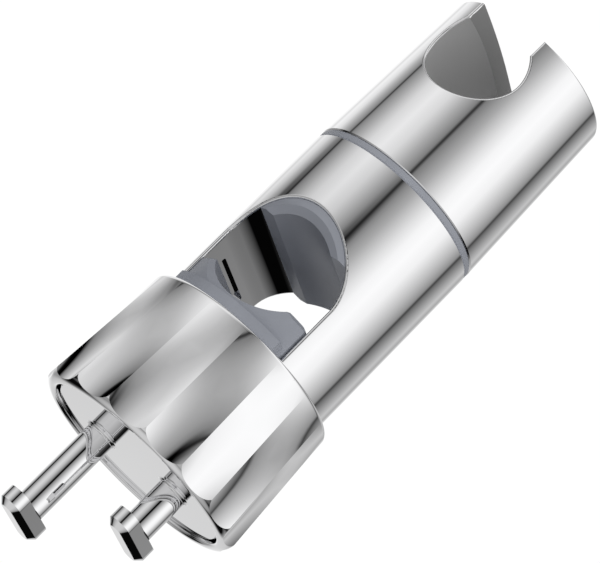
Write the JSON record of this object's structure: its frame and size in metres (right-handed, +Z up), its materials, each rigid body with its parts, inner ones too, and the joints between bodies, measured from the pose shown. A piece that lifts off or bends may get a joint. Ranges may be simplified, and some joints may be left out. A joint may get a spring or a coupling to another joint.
{
  "type": "shower rail slider",
  "caption": "Round-bodied slider that clamps on a vertical shower rail with a fluted ring knob and carries a swivelling handset cup.",
  "frame": {"origin": "on the rail's axis, half way up the body", "axes": "+X along the body towards the handset holder, +Z up along the rail, +Y to the left of someone who looks along +X"},
  "size_m": [0.136, 0.0486, 0.0486],
  "materials": {
    "chrome": "mirror chrome plating on a moulded body",
    "grey_plastic": "satin blue-grey acetal",
    "white_plastic": "natural white acetal",
    "brass": "machined brass",
    "steel": "plain stainless steel"
  },
  "bodies": {
    "root": {"body": "chrome", "fixed_jaw": "grey_plastic", "end_plate": "chrome", "plate_screws": "steel", "friction_ring": "grey_plastic", "hub_bush": "white_plastic"},
    "jaw": {"moving_jaw": "grey_plastic"},
    "knob": {"knob": "chrome"},
    "holder": {"holder": "chrome", "hub_insert": "brass", "pivot_screw": "steel", "pivot_washer": "steel", "disc_spring": "steel"}
  },
  "joints": [
    {"name": "jaw_slide", "type": "slide", "parent": "root", "child": "jaw", "axis": [1, 0, 0], "range_m": [-0.006, 0]},
    {"name": "knob_turn", "type": "hinge", "parent": "jaw", "child": "knob", "pos_m": [-0.027, 0, 0], "axis": [1, 0, 0], "range_deg": [-270, 0]},
    {"name": "holder_swivel", "type": "hinge", "parent": "root", "child": "holder", "pos_m": [0.0317, 0, 0], "axis": [1, 0, 0], "continuous": true}
  ],
  "couplings": [
    {"joint": "jaw_slide", "follows": "knob_turn", "m_per_rad": 0.0012732}
  ]
}
